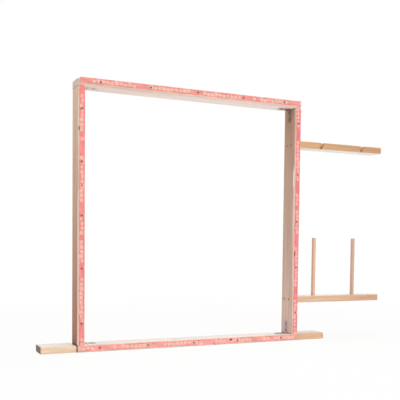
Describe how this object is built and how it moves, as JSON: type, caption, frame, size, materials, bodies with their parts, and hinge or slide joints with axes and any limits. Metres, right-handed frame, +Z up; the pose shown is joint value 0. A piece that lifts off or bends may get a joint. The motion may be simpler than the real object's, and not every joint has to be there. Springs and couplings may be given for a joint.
{
  "type": "tufting frame",
  "caption": "Square wooden frame on edge with pinned gripper strips on its front, clamp feet at the base, a slotted yarn guide arm and a spindle arm with lift-out rods.",
  "frame": {"origin": "middle of the bottom rail's underside", "axes": "+Z up; +X right along the rails, towards the yarn arms; -Y is the front, where the gripper strips are"},
  "size_m": [1.5966, 0.0991, 1.0601],
  "materials": {
    "pine": "planed, unfinished",
    "beech": "turned, unfinished",
    "printed_lath": "thin lath with a printed red top face",
    "dark_steel": "dull, dark",
    "zinc_steel": "zinc plated, satin"
  },
  "bodies": {
    "frame": {"bottom_gripper_strip": "printed_lath", "bottom_left_bracket": "zinc_steel", "bottom_left_bracket_rail_screw_1": "dark_steel", "bottom_left_bracket_rail_screw_2": "dark_steel", "bottom_left_bracket_upright_screw_1": "dark_steel", "bottom_left_bracket_upright_screw_2": "dark_steel", "bottom_rail": "pine", "bottom_right_bracket": "zinc_steel", "bottom_right_bracket_rail_screw_1": "dark_steel", "bottom_right_bracket_rail_screw_2": "dark_steel", "bottom_right_bracket_upright_screw_1": "dark_steel", "bottom_right_bracket_upright_screw_2": "dark_steel", "bottom_strip_nail_1": "dark_steel", "bottom_strip_nail_2": "dark_steel", "bottom_strip_nail_3": "dark_steel", "bottom_strip_nail_4": "dark_steel", "bottom_strip_nail_5": "dark_steel", "left_foot": "pine", "left_foot_tenon": "beech", "left_gripper_strip": "printed_lath", "left_strip_nail_1": "dark_steel", "left_strip_nail_2": "dark_steel", "left_strip_nail_3": "dark_steel", "left_strip_nail_4": "dark_steel", "left_strip_nail_5": "dark_steel", "left_upright": "pine", "right_foot": "pine", "right_foot_tenon": "beech", "right_gripper_strip": "printed_lath", "right_strip_nail_1": "dark_steel", "right_strip_nail_2": "dark_steel", "right_strip_nail_3": "dark_steel", "right_strip_nail_4": "dark_steel", "right_strip_nail_5": "dark_steel", "right_upright": "pine", "spindle_arm": "pine", "spindle_arm_screw_back": "zinc_steel", "spindle_arm_screw_front": "zinc_steel", "top_gripper_strip": "printed_lath", "top_left_bracket": "zinc_steel", "top_left_bracket_rail_screw_1": "dark_steel", "top_left_bracket_rail_screw_2": "dark_steel", "top_left_bracket_upright_screw_1": "dark_steel", "top_left_bracket_upright_screw_2": "dark_steel", "top_rail": "pine", "top_right_bracket": "zinc_steel", "top_right_bracket_rail_screw_1": "dark_steel", "top_right_bracket_rail_screw_2": "dark_steel", "top_right_bracket_upright_screw_1": "dark_steel", "top_right_bracket_upright_screw_2": "dark_steel", "top_strip_nail_1": "dark_steel", "top_strip_nail_2": "dark_steel", "top_strip_nail_3": "dark_steel", "top_strip_nail_4": "dark_steel", "top_strip_nail_5": "dark_steel", "yarn_guide_arm": "pine", "yarn_guide_arm_screw_back": "zinc_steel", "yarn_guide_arm_screw_front": "zinc_steel"},
    "inner_spindle": {"inner_spindle": "beech"},
    "outer_spindle": {"outer_spindle": "beech"}
  },
  "joints": [
    {"name": "inner_spindle_lift", "type": "slide", "parent": "frame", "child": "inner_spindle", "axis": [0, 0, 1], "range_m": [0, 0.02]},
    {"name": "outer_spindle_lift", "type": "slide", "parent": "frame", "child": "outer_spindle", "axis": [0, 0, 1], "range_m": [0, 0.02]}
  ]
}
